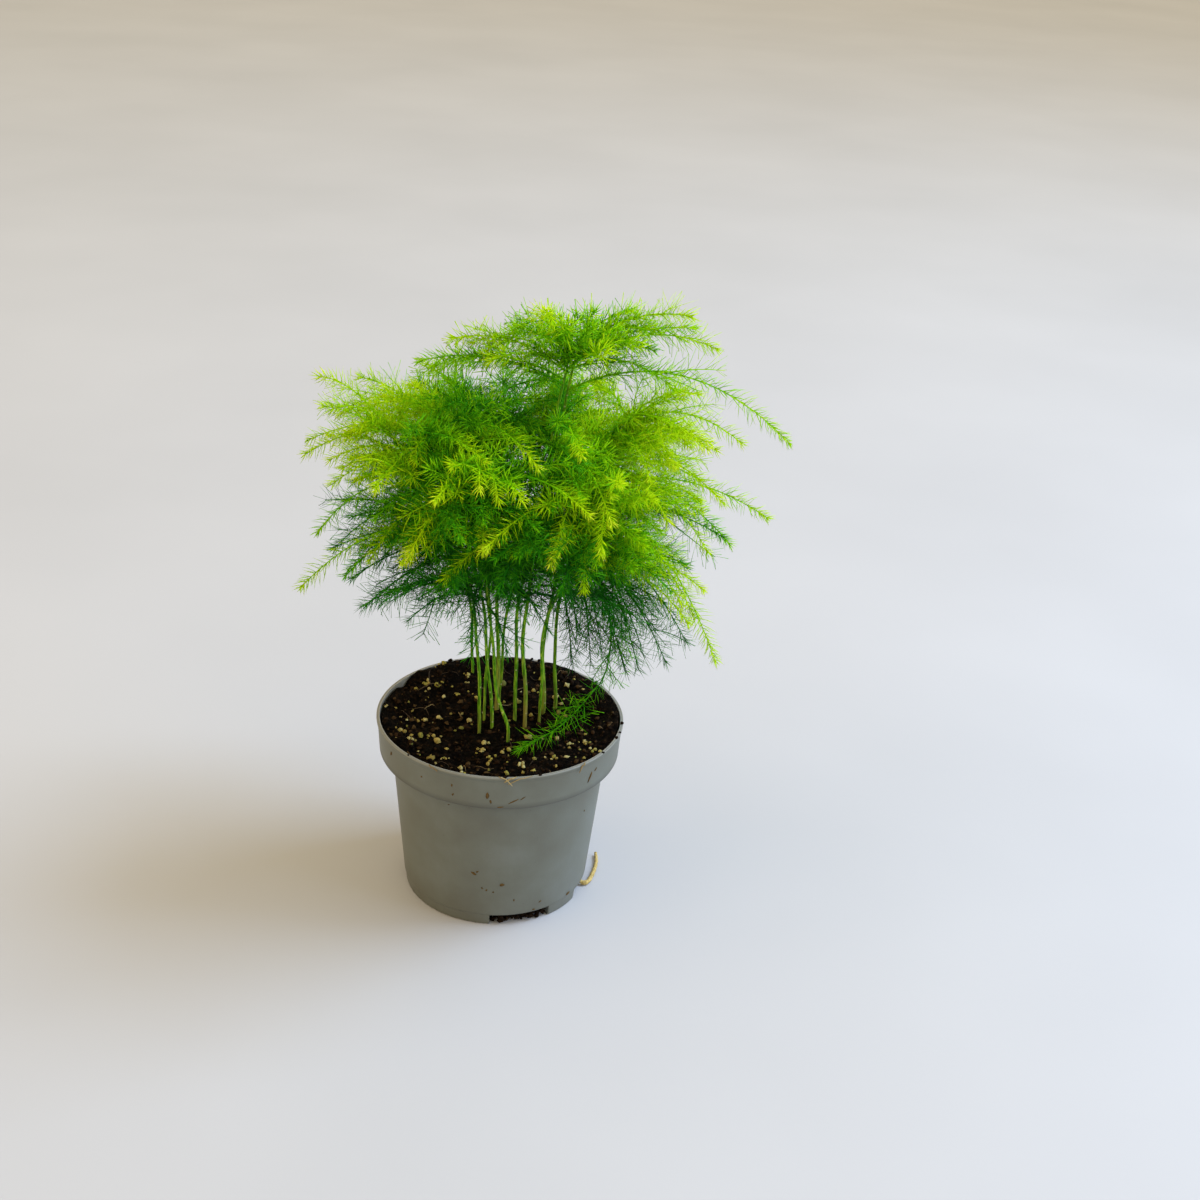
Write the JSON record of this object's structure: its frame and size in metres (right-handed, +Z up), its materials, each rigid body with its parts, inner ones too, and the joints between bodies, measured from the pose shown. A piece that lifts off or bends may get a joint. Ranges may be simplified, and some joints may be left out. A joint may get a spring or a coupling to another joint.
{
  "type": "potted asparagus fern",
  "caption": "Asparagus fern with arching sprays of fine needles on wiry stems, standing in peat in a round plastic nursery pot.",
  "frame": {"origin": "middle of the pot's flat base, on the surface that it stands on", "axes": "+Z up along the pot's axis, +X to the right and -Y to the front as the plant was pictured"},
  "size_m": [0.2254, 0.1763, 0.3115],
  "materials": {
    "pot_plastic": "matte",
    "peat": "matte",
    "dry_root": "matte",
    "lime_green": "satin",
    "leaf_green": "satin",
    "deep_green": "satin"
  },
  "bodies": {
    "root": {"pot": "pot_plastic", "peat": "peat", "root_strand": "dry_root", "frond_01": "leaf_green", "frond_02": "lime_green", "frond_03": "leaf_green", "frond_04": "deep_green", "frond_05": "leaf_green", "frond_06": "deep_green", "frond_07": "lime_green", "frond_08": "leaf_green", "frond_09": "lime_green", "frond_10": "lime_green", "frond_11": "deep_green", "frond_12": "leaf_green"}
  },
  "joints": []
}
